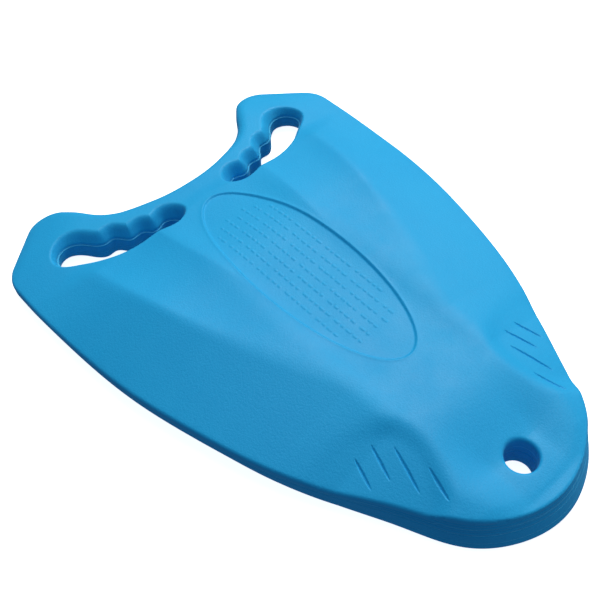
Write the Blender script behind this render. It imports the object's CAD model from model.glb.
"""Looks of the kickboard float: four moulded EVA foam sheets and the pressed bond lines between them."""

import math

import bpy
import numpy as np
from mathutils import Matrix, Vector
from mathutils.geometry import delaunay_2d_cdt


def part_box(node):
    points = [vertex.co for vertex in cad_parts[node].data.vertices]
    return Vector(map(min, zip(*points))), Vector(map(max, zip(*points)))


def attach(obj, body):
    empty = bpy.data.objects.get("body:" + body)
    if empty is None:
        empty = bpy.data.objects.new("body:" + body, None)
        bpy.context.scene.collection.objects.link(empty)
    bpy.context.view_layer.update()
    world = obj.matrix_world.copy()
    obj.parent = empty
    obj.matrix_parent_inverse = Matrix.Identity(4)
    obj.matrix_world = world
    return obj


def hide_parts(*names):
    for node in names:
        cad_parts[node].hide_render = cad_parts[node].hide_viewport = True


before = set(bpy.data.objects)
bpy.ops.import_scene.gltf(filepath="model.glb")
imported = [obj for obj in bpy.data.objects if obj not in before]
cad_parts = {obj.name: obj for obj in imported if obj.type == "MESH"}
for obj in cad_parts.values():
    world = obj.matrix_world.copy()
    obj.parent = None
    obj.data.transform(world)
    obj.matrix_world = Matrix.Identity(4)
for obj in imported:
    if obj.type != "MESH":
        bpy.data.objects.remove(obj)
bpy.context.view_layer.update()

MM = 0.001

# ---- the board, in millimetres, in the board's own plan: +Y to the tail, nose front at -224 -------
NOSE_Y = -224.0
PARTING = 15.0             # joint between the lower and the upper half
FILM = 0.3
LOWER_SPLIT = 7.5          # joint inside the lower half
UPPER_SHARE = 0.5          # the joint inside the upper half follows this share of the crown

SIDE = (                   # points of the long side, from beside the nose to the wing
    (30.0, -217.0), (54.0, -200.5), (77.0, -164.5), (98.5, -128.0), (117.0, -91.0),
    (135.4, -36.5), (149.0, 18.0), (157.0, 85.0), (159.3, 140.0),
)
WING_CORNER = (159.3, 168.5)
HORN_CORNER = (104.7, 217.0)
HEEL = (84.6, 192.0)
ARCH = ((73.0, 175.3), (51.0, 159.2))
ARCH_Y = 148.5
WING_ROUND = 30.0
HORN_ROUND = 23.0
SLOT = (                   # hand slot: front edge from its inner end outwards, then the finger recesses
    (33.0, 118.2), (50.0, 119.5), (66.0, 121.2), (82.0, 124.4), (97.0, 130.6), (111.0, 139.6),
    (122.6, 151.5), (119.0, 162.6), (108.0, 167.0), (97.5, 162.0),
    (91.0, 153.9), (83.5, 149.0), (76.5, 149.2), (71.0, 144.4), (65.5, 138.6), (59.5, 138.9),
    (54.0, 138.0), (49.0, 133.4), (45.0, 132.4), (36.5, 135.2), (29.0, 132.0), (25.2, 125.2),
)
SLOT_LEDGE = 0.8
LANYARD_Y = -192.0
LANYARD_R = 11.0
OVAL_Y = 10.0
OVAL_HALF_WIDTH = 37.5
OVAL_HALF_LENGTH = 107.0
OVAL_DEPTH = 1.2
OVAL_LIP = 0.3             # a slight swelling just outside the edge of the oval
HOLLOW_X = 82.0
HOLLOW_Y = -147.0
HOLLOW_RX = 50.0
HOLLOW_RY = 47.0
GROOVES = (                # inner and outer end of each oblique grip groove, right half
    ((76.0, -123.5), (82.0, -143.5)),
    ((63.5, -125.0), (70.5, -148.0)),
    ((55.0, -136.5), (63.5, -166.0)),
    ((49.5, -160.5), (55.7, -182.0)),
)
GROOVE_HALF_WIDTH = 1.1
GROOVE_DEPTH = 1.3



# ---- form of the upper face ------------------------------------------------------------------------
def blend(t):
    """Smooth step from 0 to 1."""
    t = np.clip(t, 0.0, 1.0)
    return t * t * (3.0 - 2.0 * t)


def soft_min(a, b, k):
    """Smaller of two heights with a crease softened over k."""
    h = np.maximum(k - np.abs(a - b), 0.0) / k
    return np.minimum(a, b) - h * h * k * 0.25


def half_width(y):
    """Half width of the outline beside the long sides."""
    waist = (60.0 - y) / 188.0
    nose = np.clip((-128.0 - y) / 96.0, 0.0, 1.0)
    middle = 159.0 - 14.0 * waist - 46.5 * waist * waist
    tip = 98.5 * np.sqrt(np.maximum(0.0, 1.0 - nose ** 1.75))
    return np.where(y > 60.0, 159.0, np.where(y > -128.0, middle, tip))


def ridge_x(y):
    """Where the outer ridge runs."""
    return 81.5 + 0.345 * y - 0.00085 * y * y


def edge_height(y):
    """Height of the top edge over the parting plane along the long side."""
    return 2.5 + 3.8 * blend((80.0 - y) / 170.0) + 6.7 * blend((-130.0 - y) / 65.0)


def crown(x, y):
    """Height of the upper face over the parting plane, before the edges are rounded."""
    x = np.abs(x)
    # spine along the middle, falling towards the arched tail and towards the nose
    fall = np.clip((-118.0 - y) / 70.0, 0.0, 1.4)
    spine = 27.5 - 14.0 * blend((y - 40.0) / 115.0) - 7.5 * fall * fall
    # forearm trough between the inner and the outer ridge, then the straight outer flank
    edge = half_width(y)
    outer = np.minimum(np.maximum(ridge_x(y), 44.0), edge - 15.0)
    inner = 40.0 + 12.0 * blend((y - 10.0) / 110.0)
    width = np.maximum(outer - inner, 1.0)
    step = 0.03 * width
    u = np.clip((x - inner) / width, 0.0, 1.0)
    dip = 0.22 * width * u * (1.0 - u) * blend((150.0 - y) / 30.0) * blend((y + 40.0) / 90.0)
    shelf = spine - step * u - dip
    rise = spine - step - edge_height(y)
    flank = edge_height(y) + rise * (edge - x) / np.maximum(edge - outer, 5.0)
    top = soft_min(shelf, flank, 2.0)
    # the middle, with the oval, lies a little under the inner ridges
    top = top - 3.4 * blend((150.0 - y) / 70.0) * blend((y + 150.0) / 60.0) * np.exp(-(x / 41.0) ** 6)
    # the grips thin out sideways, the horns thin out towards their slanted ends
    grip = 15.5 - 0.045 * x
    top = soft_min(top, grip + 60.0 * (1.0 - blend((y - 60.0) / 75.0)), 6.0)
    to_end = 231.6 - 0.664 * x - 0.747 * y
    top = soft_min(top, 2.6 + 0.24 * np.maximum(0.0, to_end), 3.0)
    # sunken pad round the lanyard hole, between two crests that run out to the nose edge
    aside = np.hypot(np.maximum(0.0, x - 18.0), np.maximum(0.0, y + 188.0))
    top = soft_min(top, 14.0 + 0.36 * aside * aside / (aside + 8.0), 5.0)
    # palm hollows, open to the side of the board
    reach = np.hypot((x - HOLLOW_X) / HOLLOW_RX, (y - HOLLOW_Y) / HOLLOW_RY)
    floor = 5.2 + 0.34 * np.maximum(0.0, edge - x)
    top = top - np.maximum(0.0, top - floor) * (1.0 - blend((reach - 0.64) / 0.38))
    return np.maximum(top, 2.2)


# ---- outline loops -----------------------------------------------------------------------------------
def resample(points, step, closed=True):
    """Points at even spacing along a polyline."""
    ring = np.vstack([points, points[:1]]) if closed else np.asarray(points)
    lengths = np.hypot(*np.diff(ring, axis=0).T)
    travel = np.concatenate([[0.0], np.cumsum(lengths)])
    count = max(8, int(round(travel[-1] / step)))
    at = np.linspace(0.0, travel[-1], count + 1)[:-1] if closed else np.linspace(0.0, travel[-1], count + 1)
    return np.column_stack([np.interp(at, travel, ring[:, k]) for k in (0, 1)])


def spline(points, closed=False, start=None, end=None, fine=24):
    """A smooth cubic curve through points, with given end directions."""
    points = np.asarray(points, float)
    count = len(points)
    ring = np.vstack([points, points[:1]]) if closed else points
    chord = np.hypot(*np.diff(ring, axis=0).T)
    size = count
    matrix = np.zeros((size, size))
    right = np.zeros((size, 2))
    for i in range(size):
        if closed or 0 < i < count - 1:
            before, after = chord[i - 1], chord[i]
            nxt = (i + 1) % count
            matrix[i, i - 1] += after
            matrix[i, i] += 2.0 * (before + after)
            matrix[i, nxt] += before
            rise_after = (points[nxt] - points[i]) / after
            rise_before = (points[i] - points[i - 1]) / before
            right[i] = 3.0 * (after * rise_before + before * rise_after)
        else:
            matrix[i, i] = 1.0
            given = start if i == 0 else end
            right[i] = np.asarray(given, float) / np.hypot(*given)
    slope = np.linalg.solve(matrix, right)
    out = []
    for i in range(len(chord)):
        a, b = ring[i], ring[i + 1]
        ma, mb = slope[i] * chord[i], slope[(i + 1) % count] * chord[i]
        t = np.linspace(0.0, 1.0, fine, endpoint=False)[:, None]
        out.append((2 * t ** 3 - 3 * t ** 2 + 1) * a + (t ** 3 - 2 * t ** 2 + t) * ma
                   + (3 * t ** 2 - 2 * t ** 3) * b + (t ** 3 - t ** 2) * mb)
    if not closed:
        out.append(ring[-1:])
    return np.vstack(out)


def corner(before, tip, after, radius):
    """The arc that rounds a corner."""
    a, p, b = (np.asarray(v, float) for v in (before, tip, after))
    u = (a - p) / np.hypot(*(a - p))
    v = (b - p) / np.hypot(*(b - p))
    half = 0.5 * math.acos(float(np.clip(u @ v, -1, 1)))
    reach = radius / math.tan(half)
    middle = p + (u + v) / np.hypot(*(u + v)) * radius / math.sin(half)
    first, last = p + u * reach - middle, p + v * reach - middle
    a0 = math.atan2(first[1], first[0])
    turn = (math.atan2(last[1], last[0]) - a0 + math.pi) % (2 * math.pi) - math.pi
    angles = a0 + turn * np.linspace(0.0, 1.0, 25)
    return middle + radius * np.column_stack([np.cos(angles), np.sin(angles)])


def outline():
    """The board's plan, counter-clockwise from the left wing round the nose."""
    left = [(-x, y) for x, y in reversed(SIDE)]
    side = spline(left + [(0.0, NOSE_Y)] + list(SIDE), start=(0, -1), end=(0, 1))
    wing = corner(SIDE[-1], WING_CORNER, HORN_CORNER, WING_ROUND)
    horn = corner(WING_CORNER, HORN_CORNER, HEEL, HORN_ROUND)
    back = (HEEL[0] - HORN_CORNER[0], HEEL[1] - HORN_CORNER[1])
    rear = [(-x, y) for x, y in reversed(ARCH)]
    heel = [HEEL] + list(ARCH) + [(0.0, ARCH_Y)] + rear + [(-HEEL[0], HEEL[1])]
    arch = spline(heel, start=back, end=(back[0], -back[1]))
    flip = np.array([-1.0, 1.0])
    return resample(np.vstack([side, wing, horn, arch, (horn * flip)[::-1], (wing * flip)[::-1]]), 1.4)


def slot_loop(side):
    """One hand slot, clockwise seen from above, so that the foam lies on its left."""
    ring = resample(spline(SLOT, closed=True), 1.0)
    return (ring * np.array([side, 1.0]))[::-1 if side > 0 else 1]


def hole_loop():
    angles = -np.arange(72) * 2 * math.pi / 72
    return np.column_stack([LANYARD_R * np.cos(angles), LANYARD_Y + LANYARD_R * np.sin(angles)])


def normals(loop):
    """Directions across a loop, pointing out of the foam."""
    along = np.roll(loop, -1, axis=0) - np.roll(loop, 1, axis=0)
    along = along / np.hypot(*along.T)[:, None]
    return np.column_stack([along[:, 1], -along[:, 0]])


def nearest(points, loop, which=False):
    """Distance of each point from a loop, and on request the nearest station."""
    a, b = loop, np.roll(loop, -1, axis=0)
    best = np.full(len(points), 1e9)
    station = np.zeros(len(points), int)
    for first in range(0, len(loop), 64):
        p, q = a[first:first + 64], b[first:first + 64]
        d = q - p
        t = ((points[:, None, :] - p) * d).sum(2) / (d * d).sum(1)
        gap = points[:, None, :] - p - np.clip(t, 0, 1)[:, :, None] * d
        far = np.sqrt((gap * gap).sum(2))
        pick = far.argmin(1)
        closer = far[np.arange(len(points)), pick] < best
        best = np.where(closer, far[np.arange(len(points)), pick], best)
        station = np.where(closer, first + pick, station)
    return (best, station) if which else best


def inside(points, loop):
    """True where a point lies inside a loop."""
    x, y = points[:, 0], points[:, 1]
    hits = np.zeros(len(points), bool)
    ax, ay = loop[:, 0], loop[:, 1]
    bx, by = np.roll(ax, -1), np.roll(ay, -1)
    for i in range(len(loop)):
        cross = (ay[i] > y) != (by[i] > y)
        if cross.any():
            at = ax[i] + (y - ay[i]) / (by[i] - ay[i] + 1e-12) * (bx[i] - ax[i])
            hits ^= cross & (x < at)
    return hits


OUTLINE = outline()
SHIFT_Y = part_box("top_sheet")[1].y / MM - OUTLINE[:, 1].max()     # board plan to the shared frame
SLOT_LOOPS = [slot_loop(1), slot_loop(-1)]
HOLE = hole_loop()

SLOT_RIM = 5.2             # how far the sloped wall of the slots reaches over the upper face
HOLE_RIM = 2.6
SIDE_RIM = 2.2
ARCH_RIM = 4.5             # middle of the arched tail
HORN_RIM = 9.0             # slanted ends and inner flanks of the horns
FLARE = 8.0                # the nose wall leans out from its top edge to the underside
FLARE_FROM = -130.0


# ---- finished upper face: rounded rims, oval recess, raised bars, grip grooves -------------------------
def rim_radius(points):
    """Rounding of the outer top edge: small along the sides, larger round the horns and the arch."""
    x, y = np.abs(points[:, 0]), points[:, 1]
    tail = blend((y - 120.0) / 30.0) * blend((158.0 - x) / 12.0)
    return SIDE_RIM + tail * (ARCH_RIM - SIDE_RIM + (HORN_RIM - ARCH_RIM) * blend((x - 35.0) / 35.0))


def drop(distance, radius, height, share):
    """How far a rounded rim lies under the plain face."""
    part = np.clip(1.0 - distance / radius, 0.0, 1.0)
    return np.minimum(radius, share * height) * (1.0 - np.sqrt(1.0 - part * part))


def wall_spread(loop):
    """Plan width of the sloped upper wall of a slot: wide at the fingers, narrow in front and at the end."""
    out = normals(loop)
    fingers = blend((0.25 - out[:, 1]) / 0.9) * blend((118.0 - np.abs(loop[:, 0])) / 14.0)
    spread = 2.8 + (SLOT_RIM - 2.8) * fingers
    for _ in range(6):
        spread = (spread + np.roll(spread, 2) + np.roll(spread, -2)) / 3.0
    return spread


def chamfer(distance, spread):
    """The sloped upper wall of a slot: 1 at the slot, 0 beyond a softened rim."""
    share = 1.0 - distance / spread
    return np.where(share > -0.5, -soft_min(-share, 0.0, 0.5), 0.0)


def oval_gap(points):
    """Signed distance from the edge of the oval recess, positive outside."""
    x, y = points[:, 0], points[:, 1] - OVAL_Y
    level = np.sqrt((x / OVAL_HALF_WIDTH) ** 2 + (y / OVAL_HALF_LENGTH) ** 2)
    slope = np.hypot(x / OVAL_HALF_WIDTH ** 2, y / OVAL_HALF_LENGTH ** 2)
    return (level - 1.0) * level / np.maximum(slope, 1e-4)


def bars():
    """Plain raised pips in rows along the oval: a generic stand-in for embossed small print."""
    out = []
    for row in range(7):
        x = 25.0 - 8.2 * row
        reach = min(78.0, OVAL_HALF_LENGTH * math.sqrt(1.0 - (x / OVAL_HALF_WIDTH) ** 2) - 16.0)
        y = OVAL_Y + reach - 5.0 * (row % 2)
        k = 3 * row
        while True:
            length = (2.6, 1.2, 3.4, 1.8, 0.9, 2.9, 2.2)[k % 7]
            if y - length < OVAL_Y - reach:
                break
            out.append(((x, y), (x, y - length)))
            y -= length + (6.5 if k % 5 == 4 else 3.6)
            k += 1
    return out


BARS = bars()
BAR_HALF_WIDTH = 1.25
BAR_HEIGHT = 0.32


def from_segment(points, a, b):
    """Distance from a segment and the share of the way along it."""
    a, b = np.asarray(a), np.asarray(b)
    along = b - a
    t = np.clip(((points - a) @ along) / (along @ along), 0.0, 1.0)
    return np.hypot(*(points - a - t[:, None] * along).T), t


def upper_face(points, gaps):
    """Height of the finished upper face over the parting plane. gaps are the distances from the loops."""
    height = crown(points[:, 0], points[:, 1])
    side, slots, hole, spread = gaps
    top = height - drop(side, rim_radius(points), height, 0.7)
    top = top - np.maximum(height - 1.6, 0.0) * chamfer(slots, spread)
    top = top - drop(hole, HOLE_RIM, height, 0.5)
    gap = oval_gap(points)
    top = top - OVAL_DEPTH * (1.0 - blend((gap + 0.9) / 1.8)) + OVAL_LIP * np.exp(-((gap - 1.2) / 0.9) ** 2)
    near = gap < 0.0
    rise = np.zeros(len(points))
    for a, b in BARS:
        here = near & (np.abs(points[:, 0] - a[0]) < 2.0)
        d, _ = from_segment(points[here], a, b)
        rise[here] = np.maximum(rise[here], blend((BAR_HALF_WIDTH - d) / 0.7))
    top = top + BAR_HEIGHT * rise
    mirrored = np.column_stack([np.abs(points[:, 0]), points[:, 1]])
    for a, b in GROOVES:
        here = np.hypot(mirrored[:, 0] - 0.5 * (a[0] + b[0]), mirrored[:, 1] - 0.5 * (a[1] + b[1])) < 22.0
        d, t = from_segment(mirrored[here], a, b)
        taper = np.sqrt(np.clip(4.0 * t * (1.0 - t), 0.0, 1.0)) * 0.8 + 0.2
        cut = np.clip(1.0 - (d / (GROOVE_HALF_WIDTH * taper)) ** 2, 0.0, 1.0)
        top[here] -= GROOVE_DEPTH * taper * cut
    return np.maximum(top, 0.6)


def gaps_of(points):
    """Distances from the outline, the slots and the hole, and the spread of the nearest slot wall."""
    slots, spread = np.full(len(points), 1e9), np.full(len(points), 3.0)
    for loop in SLOT_LOOPS:
        far, station = nearest(points, loop, True)
        spread = np.where(far < slots, wall_spread(loop)[station], spread)
        slots = np.minimum(slots, far)
    return nearest(points, OUTLINE), slots, nearest(points, HOLE), spread


# ---- points that carry the upper face -------------------------------------------------------------------
def rim_rings(loop, radius, step):
    """Points on rings inside a rim, closer together where it is steeper."""
    out = normals(loop)
    rings = []
    for angle in range(step, 91, step):
        depth = radius * (1.0 - math.cos(math.radians(angle)))
        depth = np.broadcast_to(depth, (len(loop),))
        ring = loop - out * depth[:, None]
        far = nearest(ring, loop) > depth - 0.06
        rings.append(ring[far])
    return np.vstack(rings)


def oval_rings():
    angles = np.linspace(0.0, 2 * math.pi, 1441)[:-1]
    edge = np.column_stack([OVAL_HALF_WIDTH * np.cos(angles), OVAL_Y + OVAL_HALF_LENGTH * np.sin(angles)])
    edge = resample(edge, 0.9)
    out = normals(edge)
    return np.vstack([edge + out * d for d in (-1.6, -0.9, -0.45, 0.0, 0.45, 0.9, 1.4, 2.0, 2.8)])


def capsule(a, b, distance, step):
    """Points on a ring at one distance from a segment."""
    a, b = np.asarray(a), np.asarray(b)
    u = (b - a) / np.hypot(*(b - a))
    v = np.array([-u[1], u[0]])
    turn = np.linspace(0.0, math.pi, max(4, int(math.pi * distance / step)) + 1)
    cap = distance * (np.cos(turn)[:, None] * v + np.sin(turn)[:, None] * u)
    count = max(2, int(np.hypot(*(b - a)) / step))
    along = np.linspace(0.0, 1.0, count + 1)[1:-1, None]
    first = a + along * (b - a) + v * distance
    second = b + along * (a - b) - v * distance
    return np.vstack([b + cap, second, a - cap, first])


def bar_rings():
    rings = []
    for a, b in BARS:
        count = max(1, int((a[1] - b[1]) / 0.9))
        rings.append(np.column_stack([np.full(count + 1, a[0]), np.linspace(a[1], b[1], count + 1)]))
        rings += [capsule(a, b, d, 0.9) for d in (0.45, 0.9, 1.3, 1.8)]
    return np.vstack(rings)


def groove_points():
    out = []
    for a, b in GROOVES:
        a, b = np.asarray(a), np.asarray(b)
        length = np.hypot(*(b - a))
        u = (b - a) / length
        v = np.array([-u[1], u[0]])
        for s in np.arange(-2.0, length + 2.01, 0.6):
            out += [a + u * s + v * w for w in np.arange(-2.0, 2.01, 0.33)]
    right = np.array(out)
    return np.vstack([right, right * np.array([-1.0, 1.0])])


def thin_out(points, keep_off, gap):
    """Leave out points closer than gap to those already placed."""
    cell = 0.5
    origin = np.array([-170.0, -240.0])
    shape = (700, 980)
    taken = np.zeros(shape, bool)
    at = ((keep_off - origin) / cell).astype(int)
    reach = int(math.ceil(gap / cell))
    for i in range(-reach, reach + 1):
        for j in range(-reach, reach + 1):
            if math.hypot(i, j) * cell <= gap:
                taken[np.clip(at[:, 0] + i, 0, 699), np.clip(at[:, 1] + j, 0, 979)] = True
    mine = ((points - origin) / cell).astype(int)
    return points[~taken[mine[:, 0], mine[:, 1]]]


def hex_grid(step):
    rows = []
    for j, y in enumerate(np.arange(NOSE_Y, 220.0, step * 0.866)):
        x = np.arange(-162.0, 162.1, step) + (0.5 * step if j % 2 else 0.0)
        rows.append(np.column_stack([x, np.full(len(x), y)]))
    return np.vstack(rows)


def in_foam(points, margin):
    """True for points in the foam, at least margin from every loop."""
    good = inside(points, OUTLINE)
    for loop in SLOT_LOOPS + [HOLE]:
        good &= ~inside(points, loop)
    kept = np.flatnonzero(good)
    side, slots, hole, _ = gaps_of(points[kept])
    far = np.minimum(np.minimum(side, slots), hole) > margin
    good[kept[~far]] = False
    return good


def carrying_points():
    """All the points of the upper face apart from the loops themselves."""
    special = [groove_points(), bar_rings(), oval_rings()]
    base = special[0]
    for more in special[1:]:
        base = np.vstack([base, thin_out(more, base, 0.35)])
    radius = rim_radius(OUTLINE)
    rims = [rim_rings(OUTLINE, radius, 15), rim_rings(HOLE, HOLE_RIM, 15)]
    rims += [loop - normals(loop) * d for loop in SLOT_LOOPS for d in np.arange(0.7, SLOT_RIM + 3.6, 0.7)]
    rims = np.vstack(rims)
    rims = rims[in_foam(rims, 0.04)]
    base = np.vstack([base, rims])
    grid = hex_grid(1.9)
    grid = grid[in_foam(grid, 0.9)]
    return np.vstack([base, thin_out(grid, base, 1.1)])


# ---- meshes ------------------------------------------------------------------------------------------------
def triangles(rings, extra):
    """Triangles over the foam between closed rings. Indices run through the rings, then the extra points."""
    coords = np.vstack(rings + [extra]) if len(extra) else np.vstack(rings)
    edges = []
    start = 0
    for ring in rings:
        count = len(ring)
        edges += [(start + i, start + (i + 1) % count) for i in range(count)]
        start += count
    flat = [Vector((float(x), float(y))) for x, y in coords]
    _, _, faces, origins, _, _ = delaunay_2d_cdt(flat, edges, [], 0, 1e-5, True)
    back = [first[0] if len(first) else -1 for first in origins]
    index = np.array([[back[v] for v in face] for face in faces])
    index = index[(index >= 0).all(1)]
    centre = coords[index].mean(1)
    good = inside(centre, rings[0])
    for ring in rings[1:]:
        good &= ~inside(centre, ring)
    return index[good]


def to_object(name, vertices, faces):
    """A smooth-shaded object from points in board millimetres."""
    mesh = bpy.data.meshes.new(name)
    place = np.asarray(vertices, float) * MM
    place[:, 1] += SHIFT_Y * MM
    mesh.from_pydata(place.tolist(), [], faces)
    mesh.validate()
    mesh.shade_smooth()
    mesh.update()
    obj = bpy.data.objects.new(name, mesh)
    bpy.context.scene.collection.objects.link(obj)
    return obj


def sheet(name, stacks, extra=(), extra_heights=()):
    """A closed sheet. Each stack is the wall along one loop: rings of (plan, heights) from the top down."""
    vertices, faces = [], []
    for stack in stacks:
        for plan, heights in stack:
            vertices.append(np.column_stack([plan, heights]))
    first = np.cumsum([0] + [sum(len(plan) for plan, _ in stack) for stack in stacks])
    total = int(first[-1])
    if len(extra):
        vertices.append(np.column_stack([extra, extra_heights]))
    for start, stack in zip(first, stacks):
        count = len(stack[0][0])
        turn = np.arange(count)
        nxt = (turn + 1) % count
        for level in range(len(stack) - 1):
            up, low = start + level * count, start + (level + 1) * count
            faces += np.column_stack([up + turn, low + turn, low + nxt, up + nxt]).tolist()
    top_index = np.concatenate([start + np.arange(len(stack[0][0])) for start, stack in zip(first, stacks)]
                               + [total + np.arange(len(extra))])
    roof = triangles([stack[0][0] for stack in stacks], extra)
    faces += top_index[roof].tolist()
    low_index = np.concatenate([start + (len(stack) - 1) * len(stack[0][0]) + np.arange(len(stack[0][0]))
                                for start, stack in zip(first, stacks)])
    floor = triangles([stack[-1][0] for stack in stacks], ())
    faces += low_index[floor][:, ::-1].tolist()
    return to_object(name, np.vstack(vertices), faces)


LOOPS = [OUTLINE] + SLOT_LOOPS + [HOLE]
LEDGES = (0.0, SLOT_LEDGE, SLOT_LEDGE, 0.0)


def rim_heights(loop):
    """Height of the finished upper face right at a loop, over the parting plane."""
    zero = np.zeros(len(loop))
    far = np.full(len(loop), 99.0)
    if loop is OUTLINE:
        return upper_face(loop, (zero, far, far, far))
    if loop is HOLE:
        return upper_face(loop, (far, far, zero, far))
    return upper_face(loop, (far, zero, far, wall_spread(loop)))


def creases(loop, height):
    """Fine pressed folds round the side of the nose, as an inward offset at a height over the parting."""
    nose = blend((-120.0 - loop[:, 1]) / 60.0) if loop is OUTLINE else np.zeros(len(loop))
    fold = sum(np.exp(-((height - at) / 0.4) ** 2) for at in (2.6, 4.6, 7.4, 9.6))
    return 0.45 * nose * fold


def lean(loop, z):
    """How far the nose wall stands out at height z from its top edge."""
    if loop is not OUTLINE:
        return np.zeros(len(loop))
    t = np.clip((FLARE_FROM - loop[:, 1]) / (FLARE_FROM - NOSE_Y), 0.0, 1.0)
    edge = PARTING + RIMS[0]
    return FLARE * t ** 1.15 * np.clip(1.0 - z / edge, 0.0, 1.0)


def wall(loop, top, low, levels, proud=0.0):
    """A wall along a loop between two heights over the parting plane."""
    out = normals(loop)
    rings = []
    for t in np.linspace(0.0, 1.0, levels):
        height = top + (low - top) * t
        stand = lean(loop, PARTING + height) + proud - creases(loop, height)
        rings.append((loop + out * stand[:, None], PARTING + height))
    return rings


def belly_radius(loop):
    """Rounding of the lower edge: wide along the sides, tight round the nose and inside the hole."""
    x, y = np.abs(loop[:, 0]), loop[:, 1]
    if loop is OUTLINE:
        return 14.0 - 10.0 * blend((-50.0 - y) / 100.0) - 3.0 * blend((y - 100.0) / 50.0)
    if loop is HOLE:
        return np.full(len(loop), 1.2)
    return 3.0 + 6.0 * blend((x - 92.0) / 20.0)


def lower_wall(loop, ledge, top, low, levels, proud=0.0):
    """A wall of the lower half, rounded towards the underside."""
    out = normals(loop)
    radius = belly_radius(loop)
    rings = []
    for t in np.linspace(0.0, 1.0, levels):
        z = top + (low - top) * (1.0 - (1.0 - t) ** 1.6)
        into = np.clip(1.0 - z / radius, 0.0, 1.0)
        inward = radius * (1.0 - np.sqrt(1.0 - into * into)) - ledge - proud - lean(loop, z)
        rings.append((loop - out * inward[:, None], np.full(len(loop), z)))
    return rings


half = FILM / 2
RIMS = [rim_heights(loop) for loop in LOOPS]
splits = [UPPER_SHARE * rim for rim in RIMS]
extra = carrying_points()
extra_top = upper_face(extra, gaps_of(extra))

pieces = {}
pieces["top_sheet"] = sheet(
    "foam_top_sheet", [wall(loop, rim, split + half, 11) for loop, rim, split in zip(LOOPS, RIMS, splits)],
    extra, PARTING + extra_top)
inner = hex_grid(7.0)
inner = inner[in_foam(inner, 3.0)]
inner_split = UPPER_SHARE * upper_face(inner, gaps_of(inner))
pieces["upper_bond_film"] = sheet(
    "upper_bond_line",
    [wall(loop, split + half, split - half, 3, proud=0.1) for loop, split in zip(LOOPS, splits)],
    inner, PARTING + inner_split + half)
pieces["upper_core_sheet"] = sheet(
    "foam_upper_core", [wall(loop, split - half, half, 11) for loop, split in zip(LOOPS, splits)],
    inner, PARTING + inner_split - half)
pieces["parting_bond_film"] = sheet(
    "parting_bond_line",
    [lower_wall(loop, ledge, PARTING + half, PARTING - half, 3, proud=0.12)
     for loop, ledge in zip(LOOPS, LEDGES)])
pieces["lower_core_sheet"] = sheet(
    "foam_lower_core",
    [lower_wall(loop, ledge, PARTING - half, LOWER_SPLIT + half, 8) for loop, ledge in zip(LOOPS, LEDGES)])
pieces["lower_bond_film"] = sheet(
    "lower_bond_line",
    [lower_wall(loop, ledge, LOWER_SPLIT + half, LOWER_SPLIT - half, 3, proud=0.08)
     for loop, ledge in zip(LOOPS, LEDGES)])
pieces["bottom_sheet"] = sheet(
    "foam_bottom_sheet",
    [lower_wall(loop, ledge, LOWER_SPLIT - half, 0.0, 14) for loop, ledge in zip(LOOPS, LEDGES)])


# ---- materials ------------------------------------------------------------------------------------
def foam(name, light, deep, roughness):
    """Satin skin of hot-pressed EVA: fine pebbling, faint clouding, slightly uneven sheen."""
    material = bpy.data.materials.new(name)
    material.use_nodes = True
    nodes, links = material.node_tree.nodes, material.node_tree.links
    shader = nodes["Principled BSDF"]
    shader.inputs["Specular IOR Level"].default_value = 0.29
    shader.inputs["Sheen Weight"].default_value = 0.05
    where = nodes.new("ShaderNodeTexCoord")

    def noise(scale, detail, rough):
        node = nodes.new("ShaderNodeTexNoise")
        node.inputs["Scale"].default_value = scale
        node.inputs["Detail"].default_value = detail
        node.inputs["Roughness"].default_value = rough
        links.new(where.outputs["Object"], node.inputs["Vector"])
        return node.outputs["Fac"]

    def ramp(value, low, high, first, last):
        node = nodes.new("ShaderNodeMapRange")
        node.inputs["From Min"].default_value = low
        node.inputs["From Max"].default_value = high
        node.inputs["To Min"].default_value = first
        node.inputs["To Max"].default_value = last
        links.new(value, node.inputs["Value"])
        return node.outputs["Result"]

    cloud = noise(14.0, 4.0, 0.6)
    speck = noise(900.0, 3.0, 0.75)
    blend_in = nodes.new("ShaderNodeMath")
    blend_in.operation = "ADD"
    links.new(ramp(cloud, 0.35, 0.65, 0.0, 0.35), blend_in.inputs[0])
    links.new(ramp(speck, 0.32, 0.68, 0.0, 0.65), blend_in.inputs[1])
    mix = nodes.new("ShaderNodeMix")
    mix.data_type = "RGBA"
    mix.inputs[6].default_value = (*deep, 1.0)
    mix.inputs[7].default_value = (*light, 1.0)
    links.new(blend_in.outputs[0], mix.inputs[0])
    links.new(mix.outputs[2], shader.inputs["Base Color"])
    uneven = ramp(noise(60.0, 3.0, 0.5), 0.3, 0.7, roughness - 0.05, roughness + 0.06)
    links.new(uneven, shader.inputs["Roughness"])
    fine = nodes.new("ShaderNodeBump")
    fine.inputs["Strength"].default_value = 0.45
    fine.inputs["Distance"].default_value = 0.0005
    links.new(noise(650.0, 3.0, 0.65), fine.inputs["Height"])
    soft = nodes.new("ShaderNodeBump")
    soft.inputs["Strength"].default_value = 0.12
    soft.inputs["Distance"].default_value = 0.0012
    links.new(noise(45.0, 2.0, 0.5), soft.inputs["Height"])
    links.new(soft.outputs["Normal"], fine.inputs["Normal"])
    links.new(fine.outputs["Normal"], shader.inputs["Normal"])
    return material


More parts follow.
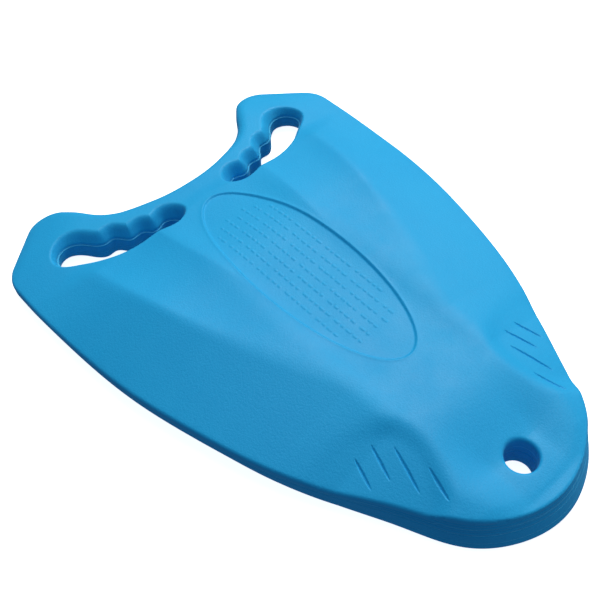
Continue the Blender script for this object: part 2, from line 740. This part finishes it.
upper_skin = foam("foam_upper_skin", (0.015, 0.430, 0.770), (0.010, 0.370, 0.710), 0.52)
lower_skin = foam("foam_lower_skin", (0.014, 0.450, 0.800), (0.009, 0.370, 0.700), 0.56)
bond_skin = foam("pressed_bond_skin", (0.080, 0.560, 0.860), (0.060, 0.500, 0.820), 0.6)
SKINS = {
    "top_sheet": (upper_skin, "foam_upper"), "upper_core_sheet": (upper_skin, "foam_upper"),
    "bottom_sheet": (lower_skin, "foam_lower"), "lower_core_sheet": (lower_skin, "foam_lower"),
    "upper_bond_film": (bond_skin, "bond_film"), "parting_bond_film": (bond_skin, "bond_film"),
    "lower_bond_film": (bond_skin, "bond_film"),
}
for node, piece in pieces.items():
    skin, slot_name = SKINS[node]
    piece.data.materials.append(skin)
    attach(piece, "root")
    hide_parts(node)


# ---- floor, light, camera -------------------------------------------------------------------------
FLOOR_LEVEL = -0.0006      # metres; a hair under the board, so the two faces do not coincide


def floor():
    mesh = bpy.data.meshes.new("studio_floor")
    corners = [(x, y, FLOOR_LEVEL) for x, y in ((-6, -6), (6, -6), (6, 6), (-6, 6))]
    mesh.from_pydata(corners, [], [(0, 1, 2, 3)])
    obj = bpy.data.objects.new("studio_floor", mesh)
    bpy.context.scene.collection.objects.link(obj)
    material = bpy.data.materials.new("studio_paper")
    material.use_nodes = True
    shader = material.node_tree.nodes["Principled BSDF"]
    shader.inputs["Base Color"].default_value = (0.93, 0.93, 0.93, 1.0)
    shader.inputs["Roughness"].default_value = 0.9
    shader.inputs["Specular IOR Level"].default_value = 0.0
    shader.inputs["Emission Color"].default_value = (1.0, 1.0, 1.0, 1.0)
    shader.inputs["Emission Strength"].default_value = 0.9
    mesh.materials.append(material)
    obj.visible_diffuse = False
    obj.visible_glossy = False
    return obj


def area(name, place, aim, size, power, colour=(1.0, 1.0, 1.0)):
    light = bpy.data.lights.new(name, "AREA")
    light.shape = "SQUARE"
    light.size = size
    light.energy = power
    light.color = colour
    obj = bpy.data.objects.new(name, light)
    obj.location = place
    obj.rotation_euler = (Vector(aim) - Vector(place)).to_track_quat("-Z", "Y").to_euler()
    bpy.context.scene.collection.objects.link(obj)
    return obj


floor()
area("key_softbox", (0.98, 0.47, 1.32), (0.0, 0.0, 0.0), 0.95, 18.4, (1.04, 0.97, 0.91))
area("top_softbox", (0.45, 0.4, 2.0), (0.0, 0.0, 0.0), 1.2, 13.0)
area("side_fill", (1.1, -1.2, 0.35), (0.0, -0.1, 0.0), 0.8, 3.5, (0.80, 0.92, 1.0))
world = bpy.data.worlds.new("studio_world")
world.use_nodes = True
world.node_tree.nodes["Background"].inputs["Color"].default_value = (0.40, 0.76, 1.15, 1.0)
world.node_tree.nodes["Background"].inputs["Strength"].default_value = 0.22
bpy.context.scene.world = world

VIEW_FROM = math.radians(-38.49)
VIEW_DOWN = math.radians(52.06)
VIEW_ROLL = math.radians(-4.35)
AIM = Vector((-0.0115, SHIFT_Y * MM, 0.017))
DISTANCE = 0.606
back = Vector((
    math.sin(VIEW_FROM) * math.cos(VIEW_DOWN),
    -math.cos(VIEW_FROM) * math.cos(VIEW_DOWN),
    math.sin(VIEW_DOWN),
))
right = Vector((math.cos(VIEW_FROM), math.sin(VIEW_FROM), 0.0))
over = back.cross(right)
across = right * math.cos(VIEW_ROLL) + over * math.sin(VIEW_ROLL)
lens = bpy.data.cameras.new("camera")
lens.sensor_width = 36.0
lens.lens = 49.77
lens.clip_start = 0.01
camera = bpy.data.objects.new("camera", lens)
upward = back.cross(across)
place = AIM + back * DISTANCE
camera.matrix_world = Matrix((
    (across.x, upward.x, back.x, place.x),
    (across.y, upward.y, back.y, place.y),
    (across.z, upward.z, back.z, place.z),
    (0.0, 0.0, 0.0, 1.0),
))
bpy.context.scene.collection.objects.link(camera)
bpy.context.scene.camera = camera
bpy.context.scene.view_settings.view_transform = "Standard"
